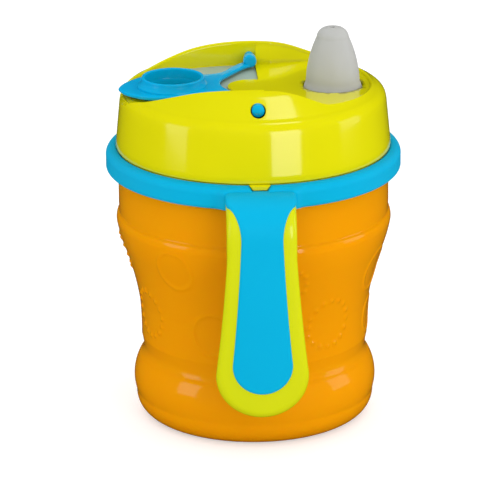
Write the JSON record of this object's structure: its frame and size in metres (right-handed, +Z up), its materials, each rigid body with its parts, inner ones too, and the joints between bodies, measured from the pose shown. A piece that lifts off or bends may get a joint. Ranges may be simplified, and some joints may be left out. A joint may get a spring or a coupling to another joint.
{
  "type": "feeding cup",
  "caption": "Child's drinking cup with drop handles, screw lid, soft drinking spout and a hinged cap that folds over the spout.",
  "frame": {"origin": "centre of the foot, on the surface that the cup stands on", "axes": "+Z up along the axis of the cup, +X from that axis to the spout, the handles on -Y (front) and +Y (rear)"},
  "size_m": [0.0824, 0.1036, 0.1119],
  "materials": {
    "amber_plastic": "translucent, smooth",
    "yellow_plastic": "gloss",
    "blue_plastic": "gloss",
    "soft_blue": "matt, soft",
    "grey_silicone": "satin, slightly clear",
    "white_plastic": "matt"
  },
  "bodies": {
    "cup": {"cup_body": "amber_plastic"},
    "handle_ring": {"handle_frame": "yellow_plastic", "front_grip": "soft_blue", "rear_grip": "soft_blue", "collar": "blue_plastic"},
    "lid": {"lid_shell": "yellow_plastic", "lid_seal": "grey_silicone", "spout": "grey_silicone", "spout_valve": "grey_silicone", "spout_retainer": "white_plastic", "vent_pad": "grey_silicone"},
    "flip_cap": {"flip_cap": "blue_plastic", "front_pivot_pin": "blue_plastic", "rear_pivot_pin": "blue_plastic"}
  },
  "joints": [
    {"name": "lid_turn", "type": "hinge", "parent": "cup", "child": "handle_ring", "pos_m": [0, 0, 0.0784], "axis": [0, 0, 1], "range_deg": [0, 540]},
    {"name": "lid_lift", "type": "slide", "parent": "handle_ring", "child": "lid", "axis": [0, 0, 1], "range_m": [0, 0.0136]},
    {"name": "cap_flip", "type": "hinge", "parent": "lid", "child": "flip_cap", "pos_m": [0, 0, 0.097], "axis": [0, 1, 0], "range_deg": [0, 180]}
  ],
  "couplings": [
    {"joint": "lid_lift", "follows": "lid_turn", "m_per_rad": 0.0014324}
  ]
}
